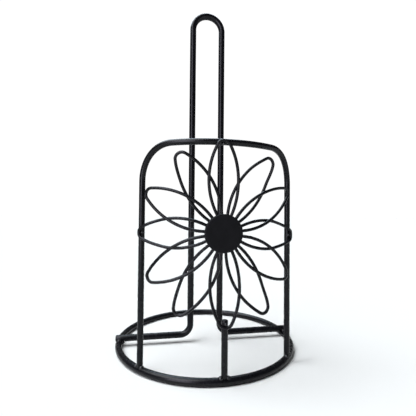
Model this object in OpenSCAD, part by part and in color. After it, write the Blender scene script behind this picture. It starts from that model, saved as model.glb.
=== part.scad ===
// Paper towel holder: a welded wire stand with a hairpin post and a flower guard.
// Millimetres, +Z up, the front faces -Y.
// The origin is the centre of the base ring on the worktop.

/* [Base ring] */
// Outer diameter of the ring
ring_diameter = 140; // [136:1:150]
// Thickness of the ring wire
ring_wire = 5; // [4:0.5:6]

/* [Post] */
// Height of the whole stand
overall_height = 270; // [240:1:320]
// Thickness of the post wire
post_wire = 5; // [4:0.5:5]
// Outside width of the hairpin
post_width = 29; // [24:1:36]
// Bend radius where the legs turn into feet, at the middle of the wire
foot_bend = 8; // [5:0.5:14]
// How far the feet run past the middle of the ring wire
foot_overhang = 2.5; // [0:0.25:2.5]
// How far the feet are pressed into the ring where they cross it
foot_sink = 1.25; // [0.5:0.25:1.5]

/* [Guard] */
// Thickness of the guard and stub wire
guard_wire = 4; // [3:0.5:5]
// Height of the top of the guard
guard_height = 149; // [140:1:170]
// Bend radius of the upper corners, at the middle of the wire
guard_corner = 23; // [12:1:32]
// How far the stub stands above the tip of the lowest petal
stub_overlap = 4; // [3:0.5:9]

/* [Flower] */
// Thickness of the petal wire
petal_wire = 2; // [1.5:0.1:2.4]
// Distance from the flower's centre to a petal tip, at the middle of the wire
petal_length = 56; // [54:0.5:60]
// Half of a petal's greatest width, at the middle of the wire
petal_half_width = 9.25; // [7:0.25:10.5]
// Distance from the flower's centre to the widest point of a petal
petal_belly = 31.5; // [30:0.5:36]
// Radius of the rounded petal tip, at the middle of the wire
petal_tip = 4; // [3:0.25:5]
// How far the flower's middle sinks behind the curve of the guard
hub_sink = 3; // [1:0.5:4]
// Diameter of the centre disc
disc_diameter = 23.6; // [22:0.2:26]
// Thickness of the centre disc
disc_thickness = 2.6; // [2:0.2:4]
// How far the disc sits to the right of the flower's middle
disc_shift = -1.3; // [-1.5:0.1:1.5]

/* [Hidden] */

PAINT = [0.05, 0.05, 0.06];
PETALS = 12;
PETAL_STEP = 360 / PETALS;
SMOOTH = 96;
FIT_GAP = 0.03;

// The petals are set by hand. Each one leans this many degrees clockwise from
// its even place, starting with the top petal.
PETAL_LEANS = [-2, 3, 0.5, 2.5, 1.5, 2, 0, 0.5, -1, -0.5, -3, -0.5];

ring_r = ring_wire / 2;
ring_mid = ring_diameter / 2 - ring_r;

post_r = post_wire / 2;
post_half = post_width / 2 - post_r;
foot_z = ring_wire + post_r - foot_sink;
foot_end = ring_mid + foot_overhang;
post_crown = overall_height - post_r - post_half;

// The guard is bent flat as an arch and then bowed to the curve of the ring it
// stands on. The side petals' tips end on its legs, just short of the wire's middle,
// and the top petal's tip ends on its bar, just past the wire's middle.
guard_r = guard_wire / 2;
SHORT_OF_LEG = 0.8;
PAST_BAR = 0.3;
guard_reach = petal_length + SHORT_OF_LEG;
leg_turn = guard_reach / ring_mid * 180 / PI;
bar_z = guard_height - guard_r;

// The petals follow an upright cylinder through the ring and are made in two
// layers. The loops at even steps from the top cross in front of the others.
// A lift is measured outwards from that cylinder to the middle of a wire.
petal_r = petal_wire / 2;
flower_z = bar_z - petal_length + PAST_BAR;
stub_top = flower_z - petal_length + stub_overlap;
tip_lift = guard_r + petal_r + FIT_GAP;
layer_gap = petal_wire + 2 * FIT_GAP;
front_lift = layer_gap - hub_sink;
disc_back = ring_mid + front_lift + petal_r + FIT_GAP;
disc_reach = disc_diameter / 2 + abs(disc_shift) + 1;
LAYERS_MEET = 42;
TIP_FLAT = 1.5;

tip_center = petal_length - petal_tip;
tip_run = tip_center - petal_belly;
side_radius = (tip_run * tip_run + petal_half_width * petal_half_width - petal_tip * petal_tip)
  / (2 * (petal_half_width - petal_tip));
side_end = atan(tip_run / (side_radius - petal_half_width));
// The wires stop short of the centre, where the two sides of a loop would meet.
end_half = petal_r + 0.4;
side_start = acos((side_radius - petal_half_width + end_half) / side_radius);
root_reach = petal_belly - side_radius * sin(side_start);
SIDE_STEPS = 17;
TIP_STEPS = 10;

function side_point(a) = [
  petal_belly + side_radius * sin(a),
  petal_half_width - side_radius + side_radius * cos(a)
];
function tip_point(a) = [tip_center + petal_tip * cos(a), petal_tip * sin(a)];

// One loop as [distance along the petal, distance across it], root to tip to root.
function loop_points() = concat(
  [for (i = [0 : SIDE_STEPS]) side_point(-side_start + (side_start + side_end) * i / SIDE_STEPS)],
  [for (i = [1 : TIP_STEPS - 1]) tip_point((90 - side_end) * (1 - 2 * i / TIP_STEPS))],
  [for (i = [SIDE_STEPS : -1 : 0]) let (p = side_point(-side_start + (side_start + side_end) * i
    / SIDE_STEPS)) [p[0], -p[1]]]
);

// The petals are level behind the disc and bend outwards like sprung wires, so that
// their tips lie flat on the front of the guard. The back layer stays one wire behind
// the front one past the last place where two petals cross, and then joins it.
function part_way(along, from) = max(0, min(1, (along - from) / (petal_length - TIP_FLAT - from)));
function sprung(t) = t * t * (3 - t) / 2;
function ease(t) = t * t * (3 - 2 * t);
function lift(layer, along) = front_lift
  + (tip_lift - front_lift) * sprung(part_way(along, disc_reach))
  - layer * layer_gap * (1 - ease(part_way(along, LAYERS_MEET)));

// Wraps a flat drawing, across and up, on to the upright cylinder over the ring.
function wrapped(across, z, out) = let (turn = across / ring_mid * 180 / PI)
  [(ring_mid + out) * sin(turn), -(ring_mid + out) * cos(turn), z];

function petal_angle(step) = step * PETAL_STEP + PETAL_LEANS[step];
function petal_path(step) = let (a = petal_angle(step))
  [for (p = loop_points()) wrapped(
    p[0] * sin(a) + p[1] * cos(a),
    flower_z + p[0] * cos(a) - p[1] * sin(a),
    lift(step % 2, p[0])
  )];

CORNER_STEPS = 10;
BAR_STEPS = 26;

function corner_point(a) = [
  guard_reach - guard_corner + guard_corner * cos(a),
  bar_z - guard_corner + guard_corner * sin(a)
];
function guard_half() = concat(
  [[guard_reach, ring_wire - guard_r]],
  [for (i = [0 : CORNER_STEPS]) corner_point(90 * i / CORNER_STEPS)]
);
function guard_path() = let (half = guard_half(), top = guard_reach - guard_corner) concat(
  [for (p = half) wrapped(p[0], p[1], 0)],
  [for (i = [1 : BAR_STEPS - 1]) wrapped(top * (1 - 2 * i / BAR_STEPS), bar_z, 0)],
  [for (i = [len(half) - 1 : -1 : 0]) wrapped(-half[i][0], half[i][1], 0)]
);

function unit(v) = v / norm(v);
function heading(path, i) = unit(path[min(i + 1, len(path) - 1)] - path[max(i - 1, 0)]);

function wire_ring(path, i, r, sides) = let (
    t = heading(path, i),
    out = unit([path[i][0], path[i][1], 0]),
    n = unit(out - (out * t) * t),
    b = cross(t, n)
  ) [for (k = [0 : sides - 1]) path[i] + r * (n * cos(360 * k / sides) + b * sin(360 * k / sides))];

// Sweeps a round wire along a path of points.
module wire(path, r, sides) {
  last = len(path) - 1;
  points = [for (i = [0 : last]) each wire_ring(path, i, r, sides)];
  walls = [for (i = [0 : last - 1]) for (k = [0 : sides - 1])
    let (k2 = (k + 1) % sides, a = i * sides, b = a + sides)
    each [[a + k, b + k, b + k2], [a + k, b + k2, a + k2]]];
  caps = [
    [for (k = [0 : sides - 1]) k],
    [for (k = [sides - 1 : -1 : 0]) last * sides + k]
  ];
  polyhedron(points = points, faces = concat(walls, caps), convexity = 6);
}

module petal(step) {
  color(PAINT)
    wire(petal_path(step), petal_r, 10);
}

module rod(length, r) {
  cylinder(h = length, r = r, $fn = SMOOTH);
}

// Bent wire: a turn about the local Z axis, starting on +X.
module bend(radius, angle, r) {
  rotate_extrude(angle = angle, $fn = SMOOTH)
    translate([radius, 0])
      circle(r = r, $fn = SMOOTH);
}

module hoop(grow = 0) {
  translate([0, 0, ring_r])
    rotate_extrude($fn = SMOOTH * 2)
      translate([ring_mid, 0])
        circle(r = ring_r + grow, $fn = SMOOTH);
}

module base_ring() {
  color(PAINT)
    hoop();
}

// The end of a foot is pressed on to the ring, so it is hollowed to the ring's round.
module post_leg() {
  translate([post_half, 0, foot_z + foot_bend])
    rod(post_crown - foot_z - foot_bend, post_r);
  translate([post_half + foot_bend, 0, foot_z + foot_bend])
    rotate([-90, 0, 0])
      rotate([0, 0, 90])
        bend(foot_bend, 90, post_r);
  difference() {
    translate([post_half + foot_bend, 0, foot_z])
      rotate([0, 90, 0])
        rod(foot_end - post_half - foot_bend, post_r);
    hoop(FIT_GAP);
  }
}

module center_post() {
  color(PAINT) {
    post_leg();
    mirror([1, 0, 0])
      post_leg();
    translate([0, 0, post_crown])
      rotate([90, 0, 0])
        bend(post_half, 180, post_r);
  }
}

// The feet of the guard and the stub are shaped to sit on the round ring.
module guard_arch() {
  color(PAINT)
    difference() {
      wire(guard_path(), guard_r, 20);
      hoop(FIT_GAP);
    }
}

module guard_stub() {
  color(PAINT)
    difference() {
      translate([0, -ring_mid, ring_wire - guard_r])
        rod(stub_top - ring_wire + guard_r, guard_r);
      hoop(FIT_GAP);
    }
}

module petal_01() { petal(0); }
module petal_02() { petal(1); }
module petal_03() { petal(2); }
module petal_04() { petal(3); }
module petal_05() { petal(4); }
module petal_06() { petal(5); }
module petal_07() { petal(6); }
module petal_08() { petal(7); }
module petal_09() { petal(8); }
module petal_10() { petal(9); }
module petal_11() { petal(10); }
module petal_12() { petal(11); }

// A stamped disc with a softened front edge, standing clear in front of the wires.
module flower_disc() {
  edge = 0.7;
  color(PAINT)
    translate([disc_shift, -disc_back, flower_z])
      rotate([90, 0, 0])
        rotate_extrude($fn = SMOOTH)
          polygon([
            [0, 0],
            [disc_diameter / 2, 0],
            [disc_diameter / 2, disc_thickness - edge],
            [disc_diameter / 2 - edge * 0.3, disc_thickness - edge * 0.3],
            [disc_diameter / 2 - edge, disc_thickness],
            [0, disc_thickness]
          ]);
}

module bead(r) {
  sphere(r = r, $fn = 24);
}

// Beads in the nooks between a foot and the ring under it.
module foot_beads() {
  translate([ring_mid - ring_r - 0.1, 0, foot_z - post_r - 0.3])
    bead(1.5);
  for (side = [-1, 1])
    translate([ring_mid - 0.3, side * post_r * 0.9, ring_wire + 0.1])
      bead(1.5);
}

module post_welds() {
  color(PAINT)
    difference() {
      union() {
        foot_beads();
        mirror([1, 0, 0])
          foot_beads();
      }
      hoop(FIT_GAP);
      translate([-foot_end - 5, 0, foot_z])
        rotate([0, 90, 0])
          rod(2 * foot_end + 10, post_r + FIT_GAP);
    }
}

// Beads on both sides of each upright where it stands on the ring.
module guard_welds() {
  color(PAINT)
    for (turn = [-leg_turn, 0, leg_turn])
      rotate([0, 0, turn])
        difference() {
          for (side = [-1, 1])
            translate([side * guard_r, -ring_mid, ring_wire])
              bead(guard_r * 0.8);
          hoop(FIT_GAP);
          translate([0, -ring_mid, 0])
            rod(30, guard_r + FIT_GAP);
        }
}

// The spot, as [distance along the petal, lift], of a bead that rests in the nook inside
// a petal tip, against a guard wire that runs along the tip at this distance.
tip_bead_r = petal_r * 0.9;
off_guard = guard_r + tip_bead_r + FIT_GAP;
off_petal = petal_r + tip_bead_r + FIT_GAP;
function nook(guard_along) = let (
    across = [petal_length - guard_along, tip_lift],
    gap = norm(across),
    u = across / gap,
    toward = (off_guard * off_guard - off_petal * off_petal + gap * gap) / (2 * gap),
    aside = sqrt(off_guard * off_guard - toward * toward)
  ) [guard_along + u[0] * toward - u[1] * aside, u[1] * toward + u[0] * aside];

module tip_bead(step, spot) {
  a = petal_angle(step);
  translate(wrapped(spot[0] * sin(a), flower_z + spot[0] * cos(a), spot[1]))
    bead(tip_bead_r);
}

module petal_welds() {
  color(PAINT) {
    tip_bead(0, nook(bar_z - flower_z));
    tip_bead(3, nook(guard_reach));
    tip_bead(6, [petal_length - off_petal, off_guard]);
    tip_bead(9, nook(guard_reach));
  }
}

// Weld that joins the ends of the petal wires behind the disc.
module hub_weld() {
  reach = root_reach - petal_r - 0.2;
  depth = layer_gap + 2 * petal_r;
  color(PAINT)
    translate([0, -disc_back + FIT_GAP, flower_z])
      rotate([-90, 0, 0])
        rotate_extrude($fn = SMOOTH)
          polygon([
            [0, 0],
            [reach, 0],
            [reach, depth * 0.55],
            [reach * 0.8, depth * 0.85],
            [reach * 0.5, depth],
            [0, depth]
          ]);
}

base_ring();
center_post();
guard_arch();
guard_stub();
petal_01();
petal_02();
petal_03();
petal_04();
petal_05();
petal_06();
petal_07();
petal_08();
petal_09();
petal_10();
petal_11();
petal_12();
flower_disc();
post_welds();
guard_welds();
petal_welds();
hub_weld();
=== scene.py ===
import math

import bmesh
import bpy
import numpy as np
from mathutils import Matrix, Vector, noise


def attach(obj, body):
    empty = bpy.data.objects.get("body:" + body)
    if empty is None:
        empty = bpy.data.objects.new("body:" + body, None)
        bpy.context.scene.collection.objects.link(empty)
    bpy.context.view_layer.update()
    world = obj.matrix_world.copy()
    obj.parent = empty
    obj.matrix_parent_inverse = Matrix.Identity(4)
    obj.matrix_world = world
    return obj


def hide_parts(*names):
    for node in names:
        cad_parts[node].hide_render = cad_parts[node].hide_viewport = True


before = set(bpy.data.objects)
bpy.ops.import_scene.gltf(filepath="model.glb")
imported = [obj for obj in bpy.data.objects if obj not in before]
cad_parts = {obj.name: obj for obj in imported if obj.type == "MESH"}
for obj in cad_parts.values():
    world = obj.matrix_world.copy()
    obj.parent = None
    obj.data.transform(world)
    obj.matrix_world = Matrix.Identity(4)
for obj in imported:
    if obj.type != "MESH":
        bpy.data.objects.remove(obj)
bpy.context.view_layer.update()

MM = 0.001
TAU = 2 * math.pi

# ---------------------------------------------------------------- sizes, in mm
RING_R = 2.5
RING_MID = 67.5
POST_R = 2.5
POST_HALF = 12.0
POST_CROWN = 255.5
FOOT_Z = 6.25
FOOT_BEND = 8.0
FOOT_END = 70.0
GUARD_R = 2.0
GUARD_REACH = 56.8
GUARD_CORNER = 23.0
BAR_Z = 147.0
FLOWER_Z = 91.3
STUB_TOP = 39.3
PETALS = 12
# degrees clockwise off each petal's even place, from the top petal on
PETAL_LEANS = [-2, 3, 0.5, 2.5, 1.5, 2, 0, 0.5, -1, -0.5, -3, -0.5]
PETAL_R = 1.0
PETAL_LENGTH = 56.0
PETAL_HALF = 9.25
PETAL_BELLY = 31.5
PETAL_TIP = 4.0
TIP_FLAT = 1.5
TIP_LIFT = 3.03
LAYER_GAP = 2.06
FRONT_LIFT = -0.94
LAYERS_MEET = 42.0
DISC_R = 11.8
DISC_SHIFT = -1.3
DISC_BACK = 67.59
DISC_THICK = 2.6
DISC_REACH = 14.1


# ------------------------------------------------------------------- geometry
def finish_piece(name, bm, node, material):
    """Turns a bmesh in millimetres into a smooth piece that stands for a CAD node."""
    bmesh.ops.recalc_face_normals(bm, faces=bm.faces[:])
    for v in bm.verts:
        v.co *= MM
    mesh = bpy.data.meshes.new(name)
    bm.to_mesh(mesh)
    bm.free()
    for p in mesh.polygons:
        p.use_smooth = True
    mesh.materials.append(material)
    piece = bpy.data.objects.new(name, mesh)
    bpy.context.scene.collection.objects.link(piece)
    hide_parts(node)
    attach(piece, "root")
    return piece


def sweep_frames(points, closed):
    """Parallel-transported pairs of normals along a path."""
    p = np.asarray(points, float)
    n = len(p)
    if closed:
        t = np.roll(p, -1, 0) - np.roll(p, 1, 0)
    else:
        t = np.gradient(p, axis=0)
        t[0], t[-1] = p[1] - p[0], p[-1] - p[-2]
    t /= np.linalg.norm(t, axis=1)[:, None]
    guess = np.array([0.0, 0.0, 1.0]) if abs(t[0][2]) < 0.8 else np.array([1.0, 0.0, 0.0])
    normal = guess - t[0] * guess.dot(t[0])
    out = []
    for i in range(n):
        normal = normal - t[i] * normal.dot(t[i])
        normal /= np.linalg.norm(normal)
        out.append((normal.copy(), np.cross(t[i], normal)))
    return p, out


def add_tube(bm, points, radius, sides, closed=False, chamfer=0.3):
    """Sweeps a round wire along a path. Open ends are cut flat with a rounded edge."""
    points = [np.asarray(q, float) for q in points]
    scale = [1.0] * len(points)
    if not closed:
        c = radius * chamfer
        steps = [(0.0, 1 - chamfer), (0.29 * c, 1 - 0.29 * chamfer), (c, 1.0)]
        for at_start in (True, False):
            a, b = (points[0], points[1]) if at_start else (points[-1], points[-2])
            d = (b - a) / np.linalg.norm(b - a)
            ring_points = [a + d * s for s, _ in steps]
            ring_scale = [k for _, k in steps]
            if at_start:
                points, scale = ring_points + points[1:], ring_scale + scale[1:]
            else:
                points = points[:-1] + ring_points[::-1]
                scale = scale[:-1] + ring_scale[::-1]
    p, frames = sweep_frames(points, closed)
    rings = []
    for i, (n, b) in enumerate(frames):
        rings.append([
            bm.verts.new(Vector(p[i] + radius * scale[i] * (
                n * math.cos(TAU * k / sides) + b * math.sin(TAU * k / sides))))
            for k in range(sides)])
    pairs = list(zip(rings, rings[1:])) + ([(rings[-1], rings[0])] if closed else [])
    for r0, r1 in pairs:
        for k in range(sides):
            bm.faces.new((r0[k], r0[(k + 1) % sides], r1[(k + 1) % sides], r1[k]))
    if not closed:
        for ring in (rings[0], rings[-1]):
            cap = bm.faces.new(ring)
            for e in cap.edges:
                e.smooth = False


def tube_piece(name, points, radius, sides, node, closed=False, chamfer=0.3):
    bm = bmesh.new()
    add_tube(bm, points, radius, sides, closed, chamfer)
    return finish_piece(name, bm, node, WIRE)


def straight(a, b, step):
    """Points from a to b, both included, about step apart."""
    a, b = np.asarray(a, float), np.asarray(b, float)
    n = max(1, round(np.linalg.norm(b - a) / step))
    return [a + (b - a) * i / n for i in range(n + 1)]


def arc(center, u, v, radius, a0, a1, n):
    """Points on a circle in the plane of u and v, from a0 to a1 degrees."""
    c, u, v = (np.asarray(q, float) for q in (center, u, v))
    angles = np.radians(np.linspace(a0, a1, n + 1))
    return [c + radius * (u * math.cos(a) + v * math.sin(a)) for a in angles]


def join(*runs):
    """Joins runs of points and drops the doubled ones."""
    out = []
    for run in runs:
        for q in run:
            if not out or np.linalg.norm(out[-1] - q) > 1e-4:
                out.append(q)
    return out


def wrapped(across, z, out):
    """A point of the flat drawing, wrapped on the upright cylinder over the ring."""
    turn = across / RING_MID
    r = RING_MID + out
    return np.array([r * math.sin(turn), -r * math.cos(turn), z])


# ------------------------------------------------------------------ materials
def node_maker(material):
    """The node tree, and helpers that add a noise texture or a remapped value to it."""
    nt = material.node_tree
    coord = nt.nodes.new("ShaderNodeTexCoord")

    def noise_node(scale, detail):
        n = nt.nodes.new("ShaderNodeTexNoise")
        n.inputs["Scale"].default_value = scale
        n.inputs["Detail"].default_value = detail
        nt.links.new(coord.outputs["Object"], n.inputs["Vector"])
        return n.outputs["Fac"]

    def remap(source, lo, hi, out_lo, out_hi):
        n = nt.nodes.new("ShaderNodeMapRange")
        for key, value in (("From Min", lo), ("From Max", hi), ("To Min", out_lo), ("To Max", out_hi)):
            n.inputs[key].default_value = value
        nt.links.new(source, n.inputs["Value"])
        return n.outputs[0]

    return nt, noise_node, remap


def paint(name, base, tint, rough_low, rough_high, peel, ior):
    """Black paint with a slightly uneven tone, an uneven sheen and a faint orange peel."""
    m = bpy.data.materials.new(name)
    m.use_nodes = True
    nt, noise_node, remap = node_maker(m)
    bsdf = nt.nodes["Principled BSDF"]
    bsdf.inputs["IOR"].default_value = ior

    mix = nt.nodes.new("ShaderNodeMix")
    mix.data_type = "RGBA"
    mix.inputs[6].default_value = (*base, 1)
    mix.inputs[7].default_value = (*tint, 1)
    nt.links.new(remap(noise_node(140, 3), 0.35, 0.65, 0, 1), mix.inputs[0])
    nt.links.new(mix.outputs[2], bsdf.inputs["Base Color"])

    sheen = remap(noise_node(220, 4), 0.3, 0.7, rough_low, rough_high)
    nt.links.new(sheen, bsdf.inputs["Roughness"])

    bump = nt.nodes.new("ShaderNodeBump")
    bump.inputs["Strength"].default_value = peel
    bump.inputs["Distance"].default_value = 0.00004
    nt.links.new(noise_node(900, 2), bump.inputs["Height"])
    nt.links.new(bump.outputs[0], bsdf.inputs["Normal"])
    return m


WIRE = paint("wire_paint", (0.0035, 0.0035, 0.0052), (0.0055, 0.0055, 0.0080), 0.24, 0.30, 0.10, 1.28)
WELD = paint("weld_paint", (0.0035, 0.0035, 0.0048), (0.0055, 0.0055, 0.0075), 0.18, 0.24, 0.20, 1.45)
DISC = paint("disc_paint", (0.0040, 0.0040, 0.0055), (0.0060, 0.0060, 0.0080), 0.46, 0.54, 0.3, 1.22)


# ----------------------------------------------------------------- the pieces
X, Y, Z = np.eye(3)

# base hoop
hoop = arc((0, 0, RING_R), X, Y, RING_MID, 0, 360, 240)[:-1]
tube_piece("ring_wire", hoop, RING_R, 32, "base_ring", closed=True)


# hairpin post with its two feet
def post_side(side):
    """From the tip of one foot to the start of the crown."""
    corner = (side * (POST_HALF + FOOT_BEND), 0, FOOT_Z + FOOT_BEND)
    return join(
        straight((side * FOOT_END, 0, FOOT_Z), (corner[0], 0, FOOT_Z), 6),
        arc(corner, -side * X, Z, FOOT_BEND, -90, 0, 18),
        straight((side * POST_HALF, 0, corner[2]), (side * POST_HALF, 0, POST_CROWN), 6))


crown = arc((0, 0, POST_CROWN), -X, Z, POST_HALF, 0, 180, 48)
post = join(post_side(-1), crown, post_side(1)[::-1])
tube_piece("post_wire", post, POST_R, 28, "center_post")


# guard arch, bowed with the ring
def guard_side(side):
    top = GUARD_REACH - GUARD_CORNER
    flat = [(GUARD_REACH, z) for z in np.linspace(4.3, BAR_Z - GUARD_CORNER, 22)]
    for i in range(1, 21):
        a = math.radians(90 * i / 20)
        flat.append((top + GUARD_CORNER * math.cos(a),
                     BAR_Z - GUARD_CORNER + GUARD_CORNER * math.sin(a)))
    return [wrapped(side * u, z, 0) for u, z in flat]


bar_half = GUARD_REACH - GUARD_CORNER
bar = [wrapped(u, BAR_Z, 0) for u in np.linspace(-bar_half, bar_half, 50)]
guard = join(guard_side(-1), bar, guard_side(1)[::-1])
tube_piece("guard_wire", guard, GUARD_R, 28, "guard_arch", chamfer=0.1)

# stub under the lowest petal
stub = straight((0, -RING_MID, 4.3), (0, -RING_MID, STUB_TOP), 3)
tube_piece("stub_wire", stub, GUARD_R, 28, "guard_stub", chamfer=0.35)


# flower
def loop_points():
    """One flat petal as (distance along it, distance across it), root to tip to root."""
    tip_center = PETAL_LENGTH - PETAL_TIP
    run = tip_center - PETAL_BELLY
    side_r = (run ** 2 + PETAL_HALF ** 2 - PETAL_TIP ** 2) / (2 * (PETAL_HALF - PETAL_TIP))
    a_end = math.atan(run / (side_r - PETAL_HALF))
    a_start = math.acos((side_r - PETAL_HALF + PETAL_R + 0.4) / side_r)
    side = [(PETAL_BELLY + side_r * math.sin(a), PETAL_HALF - side_r + side_r * math.cos(a))
            for a in np.linspace(-a_start, a_end, 44)]
    half_turn = math.pi / 2 - a_end
    tip = [(tip_center + PETAL_TIP * math.cos(a), PETAL_TIP * math.sin(a))
           for a in np.linspace(half_turn, -half_turn, 26)[1:-1]]
    return side + tip + [(p, -q) for p, q in side[::-1]]


def part_way(along, start):
    """0 before start, then rising evenly to 1 where the petal tip lies flat."""
    return min(1, max(0, (along - start) / (PETAL_LENGTH - TIP_FLAT - start)))


def lift(layer, along):
    """The petals spring outwards to lie on the guard; the back layer joins at the tips."""
    t = part_way(along, DISC_REACH)
    u = part_way(along, LAYERS_MEET)
    return (FRONT_LIFT + (TIP_LIFT - FRONT_LIFT) * t * t * (3 - t) / 2
            - layer * LAYER_GAP * (1 - u * u * (3 - 2 * u)))


def petal_turn(step):
    return math.radians(360 / PETALS * step + PETAL_LEANS[step])


def petal_path(step):
    c, s = math.cos(petal_turn(step)), math.sin(petal_turn(step))
    return [wrapped(p * s + q * c, FLOWER_Z + p * c - q * s, lift(step % 2, p))
            for p, q in loop_points()]


for step in range(PETALS):
    tube_piece(f"petal_wire_{step + 1:02d}", petal_path(step), PETAL_R, 18, f"petal_{step + 1:02d}",
               chamfer=0.3)


def lathe(bm, profile, sides, place):
    """Turns (radius, height) pairs about an axis; place moves a point to its spot."""
    rings = [[bm.verts.new(place(r * math.cos(TAU * k / sides), r * math.sin(TAU * k / sides), h))
              for k in range(sides)] for r, h in profile]
    for r0, r1 in zip(rings, rings[1:]):
        for k in range(sides):
            bm.faces.new((r0[k], r0[(k + 1) % sides], r1[(k + 1) % sides], r1[k]))
    for ring in (rings[0], rings[-1]):
        bm.faces.new(ring)


def disc_piece():
    """The stamped centre: a flat face, a rolled edge and a faint dish."""
    edge = 0.7
    profile = [(1.0, 0.0), (DISC_R - 0.25, 0.0), (DISC_R, 0.25)]
    profile += [(DISC_R, h) for h in np.linspace(0.5, DISC_THICK - edge, 4)]
    profile += [(DISC_R - edge + edge * math.cos(a), DISC_THICK - edge + edge * math.sin(a))
                for a in np.linspace(0, math.pi / 2, 8)[1:]]
    profile += [(r, DISC_THICK - 0.06 * (1 - (r / (DISC_R - edge)) ** 2))
                for r in np.linspace(DISC_R - edge - 0.6, 0.6, 10)]
    bm = bmesh.new()
    lathe(bm, profile, 96, lambda x, y, h: Vector((DISC_SHIFT + x, -DISC_BACK - h, FLOWER_Z + y)))
    return finish_piece("disc_face", bm, "flower_disc", DISC)


disc_piece()


# weld beads, which run into the wires like real welds
def add_bead(bm, center, radii, seed, rough=0.12):
    """A small lump of weld, flattened and uneven."""
    made = bmesh.ops.create_icosphere(bm, subdivisions=3, radius=1.0)["verts"]
    for v in made:
        d = v.co.normalized()
        k = 1 + rough * noise.noise(d * 1.7 + Vector((seed * 7.3, 1.1, 2.7)))
        v.co = Vector(center) + Vector([d[i] * radii[i] * k for i in range(3)])


def turned(x, y, z, turn):
    c, s = math.cos(turn), math.sin(turn)
    return (x * c - y * s, x * s + y * c, z)


bm = bmesh.new()
for i, side in enumerate((-1, 1)):
    add_bead(bm, (side * (RING_MID - 2.9), 0, 3.4), (1.5, 2.0, 1.5), i)
    for j, lean in enumerate((-1, 1)):
        add_bead(bm, (side * (RING_MID - 0.3), lean * 2.3, 5.1), (1.7, 1.3, 1.3), 4 + 2 * i + j)
finish_piece("post_weld_beads", bm, "post_welds", WELD)

bm = bmesh.new()
leg_turn = GUARD_REACH / RING_MID
for i, turn in enumerate((-leg_turn, 0, leg_turn)):
    for j, side in enumerate((-1, 1)):
        add_bead(bm, turned(side * 2.4, -RING_MID - 0.6, 4.7, turn), (1.6, 1.4, 1.4), 10 + 2 * i + j)
finish_piece("guard_weld_beads", bm, "guard_welds", WELD)

bm = bmesh.new()
for i, (step, along, out) in enumerate(((0, 54.1, 2.5), (3, 54.5, 1.8), (6, 54.1, 2.9), (9, 54.5, 1.8))):
    a = petal_turn(step)
    spot = wrapped(along * math.sin(a), FLOWER_Z + along * math.cos(a), out)
    add_bead(bm, spot, (0.95, 0.95, 0.95), 20 + i)
finish_piece("petal_weld_beads", bm, "petal_welds", WELD)

bm = bmesh.new()
depth = LAYER_GAP + 2 * PETAL_R
for i in range(7):
    a = TAU * i / 6
    r = 0 if i == 6 else 2.6
    add_bead(bm, (r * math.cos(a), -DISC_BACK + depth * 0.4, FLOWER_Z + r * math.sin(a)),
             (2.4, depth * 0.55, 2.4), 30 + i, 0.2)
finish_piece("hub_weld_bead", bm, "hub_weld", WELD)


# ---------------------------------------------------------------------- stage
def stage_floor():
    """A plain pale matte floor, the same all over."""
    mesh = bpy.data.meshes.new("floor")
    half = 60.0
    mesh.from_pydata([(-half, -half, 0), (half, -half, 0), (half, half, 0), (-half, half, 0)],
                     [], [(0, 1, 2, 3)])
    m = bpy.data.materials.new("floor")
    m.use_nodes = True
    bsdf = m.node_tree.nodes["Principled BSDF"]
    bsdf.inputs["Base Color"].default_value = (0.93, 0.93, 0.93, 1)
    bsdf.inputs["Roughness"].default_value = 0.8
    bsdf.inputs["Specular IOR Level"].default_value = 0
    mesh.materials.append(m)
    floor = bpy.data.objects.new("floor", mesh)
    bpy.context.scene.collection.objects.link(floor)


stage_floor()


def studio_world():
    """Soft fill, brighter from behind the object, with a white backdrop for the camera."""
    world = bpy.data.worlds.new("studio")
    bpy.context.scene.world = world
    world.use_nodes = True
    nt = world.node_tree
    bg = nt.nodes["Background"]
    out = nt.nodes["World Output"]
    coord = nt.nodes.new("ShaderNodeTexCoord")
    sep = nt.nodes.new("ShaderNodeSeparateXYZ")
    nt.links.new(coord.outputs["Generated"], sep.inputs[0])
    glow = nt.nodes.new("ShaderNodeMapRange")
    glow.interpolation_type = "SMOOTHSTEP"
    for key, value in (("From Min", -0.4), ("From Max", 1.0), ("To Min", 0.06), ("To Max", 0.20)):
        glow.inputs[key].default_value = value
    nt.links.new(sep.outputs["Y"], glow.inputs["Value"])
    nt.links.new(glow.outputs[0], bg.inputs["Strength"])
    plain = nt.nodes.new("ShaderNodeBackground")
    plain.inputs["Strength"].default_value = 1.05
    plain.inputs["Color"].default_value = (1, 1, 1, 1)
    bg.inputs["Color"].default_value = (1, 1, 1, 1)
    path = nt.nodes.new("ShaderNodeLightPath")
    mix = nt.nodes.new("ShaderNodeMixShader")
    nt.links.new(path.outputs["Is Camera Ray"], mix.inputs[0])
    nt.links.new(bg.outputs[0], mix.inputs[1])
    nt.links.new(plain.outputs[0], mix.inputs[2])
    nt.links.new(mix.outputs[0], out.inputs["Surface"])


studio_world()


def softbox(name, location, target, width, height, power, color):
    """A lamp that only draws highlights; the key light does the rest."""
    data = bpy.data.lights.new(name, "AREA")
    data.shape = "RECTANGLE"
    data.size, data.size_y = width, height
    data.energy = power
    data.color = color
    lamp = bpy.data.objects.new(name, data)
    lamp.location = location
    aim = Vector(target) - Vector(location)
    lamp.rotation_euler = aim.to_track_quat("-Z", "Y").to_euler()
    lamp.visible_camera = False
    lamp.visible_diffuse = False
    bpy.context.scene.collection.objects.link(lamp)


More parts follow.
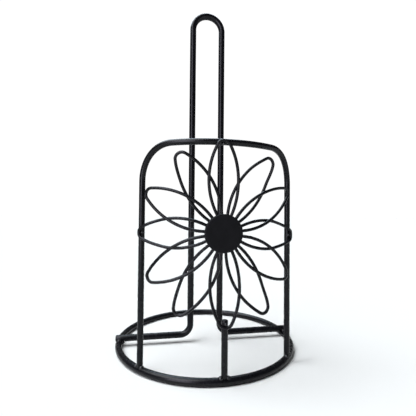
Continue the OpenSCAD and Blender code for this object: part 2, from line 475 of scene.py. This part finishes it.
softbox("left_softbox", (-0.47, -0.60, 0.35), (0, 0, 0.16), 0.36, 0.80, 6.2, (0.88, 0.86, 1.0))
softbox("top_softbox", (-0.10, 0.45, 0.80), (0, 0, 0.10), 0.80, 0.40, 7.0, (0.72, 0.86, 1.0))


def soft_sun(strength, spread, azimuth, elevation, color):
    """An even key light: it stays the same all over the floor."""
    data = bpy.data.lights.new("key", "SUN")
    data.energy = strength
    data.angle = math.radians(spread)
    data.color = color
    lamp = bpy.data.objects.new("key", data)
    a, e = math.radians(azimuth), math.radians(elevation)
    toward = Vector((math.sin(a) * math.cos(e), -math.cos(a) * math.cos(e), math.sin(e)))
    lamp.rotation_euler = (-toward).to_track_quat("-Z", "Y").to_euler()
    bpy.context.scene.collection.objects.link(lamp)


soft_sun(3.7, 50, -75, 62, (0.94, 0.98, 1.0))

# --------------------------------------------------------------------- camera
CAM_AZIMUTH = -10.21
CAM_DISTANCE = 254.9
CAM_HEIGHT = 102.4
CAM_HEADING = -10.59
CAM_TILT = 1.29
CAM_ROLL = 0.52
CAM_LENS = 26.84


def photo_camera():
    data = bpy.data.cameras.new("camera")
    data.sensor_width = 36
    data.lens = CAM_LENS
    data.clip_start, data.clip_end = 0.01, 20
    cam = bpy.data.objects.new("camera", data)
    a, h = math.radians(CAM_AZIMUTH), math.radians(CAM_HEADING)
    t, r = math.radians(CAM_TILT), math.radians(CAM_ROLL)
    look = Vector((-math.sin(h) * math.cos(t), math.cos(h) * math.cos(t), math.sin(t)))
    right = look.cross(Vector((0, 0, 1))).normalized()
    up = right.cross(look)
    right, up = right * math.cos(r) + up * math.sin(r), up * math.cos(r) - right * math.sin(r)
    m = Matrix((right, up, -look)).transposed().to_4x4()
    m.translation = Vector((math.sin(a) * CAM_DISTANCE, -math.cos(a) * CAM_DISTANCE, CAM_HEIGHT)) * MM
    cam.matrix_world = m
    bpy.context.scene.collection.objects.link(cam)
    bpy.context.scene.camera = cam


photo_camera()
bpy.context.scene.view_settings.view_transform = "Standard"
